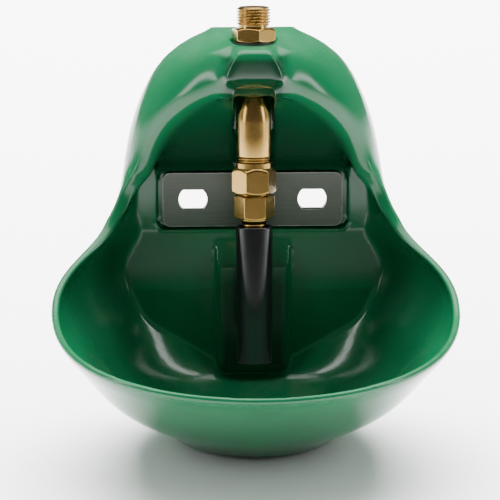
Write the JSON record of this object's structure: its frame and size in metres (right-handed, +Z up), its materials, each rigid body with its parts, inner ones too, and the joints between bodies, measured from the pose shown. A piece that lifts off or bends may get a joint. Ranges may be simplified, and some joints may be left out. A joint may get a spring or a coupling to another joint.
{
  "type": "livestock drinking bowl",
  "caption": "Wall-mounted livestock drinking bowl with a hooded back, a hanging brass tube valve and a tilting tube that lets the water in.",
  "frame": {"origin": "on the wall plane, midway between the two wall slots", "axes": "+Y into the wall, +Z up, +X to the right seen from the front"},
  "size_m": [0.249, 0.2107, 0.2645],
  "materials": {
    "green_plastic": "smooth glossy moulding",
    "stainless": "satin rolled stainless",
    "brass": "turned brass",
    "black_plastic": "smooth black",
    "rubber": "matte",
    "white_washer": "matte",
    "inner_steel": "bright drawn"
  },
  "bodies": {
    "housing": {"bowl": "green_plastic", "mounting_plate": "stainless", "inlet_nipple": "brass", "nipple_gasket": "rubber", "inlet_strainer": "inner_steel", "valve_body": "brass", "spring_guide": "inner_steel", "valve_spring": "inner_steel", "valve_seat": "inner_steel", "seat_oring": "rubber", "adapter_gasket": "rubber", "valve_adapter": "brass", "union_nut": "brass", "gland_nut": "brass"},
    "swivel": {"swivel_washer": "white_washer"},
    "tube": {"actuator_pipe": "inner_steel", "tube_insert": "black_plastic", "drinking_tube": "black_plastic"},
    "poppet": {"valve_poppet": "brass", "seal_disc": "rubber"}
  },
  "joints": [
    {"name": "tube_swivel", "type": "hinge", "parent": "housing", "child": "swivel", "pos_m": [0, -0.04819, 0.00397], "axis": [0, 0.1564, 0.9877], "continuous": true},
    {"name": "tube_tilt", "type": "hinge", "parent": "swivel", "child": "tube", "pos_m": [0, -0.0557, 0.00516], "axis": [1, 0, 0], "range_deg": [0, 7], "stiffness_Nm_per_rad": 0.6},
    {"name": "valve_lift", "type": "slide", "parent": "housing", "child": "poppet", "axis": [0, 0.1564, 0.9877], "range_m": [0, 0.0011], "deforming": ["valve_spring"]}
  ],
  "couplings": [
    {"joint": "valve_lift", "follows": "tube_tilt", "m_per_rad": 0.0088}
  ]
}
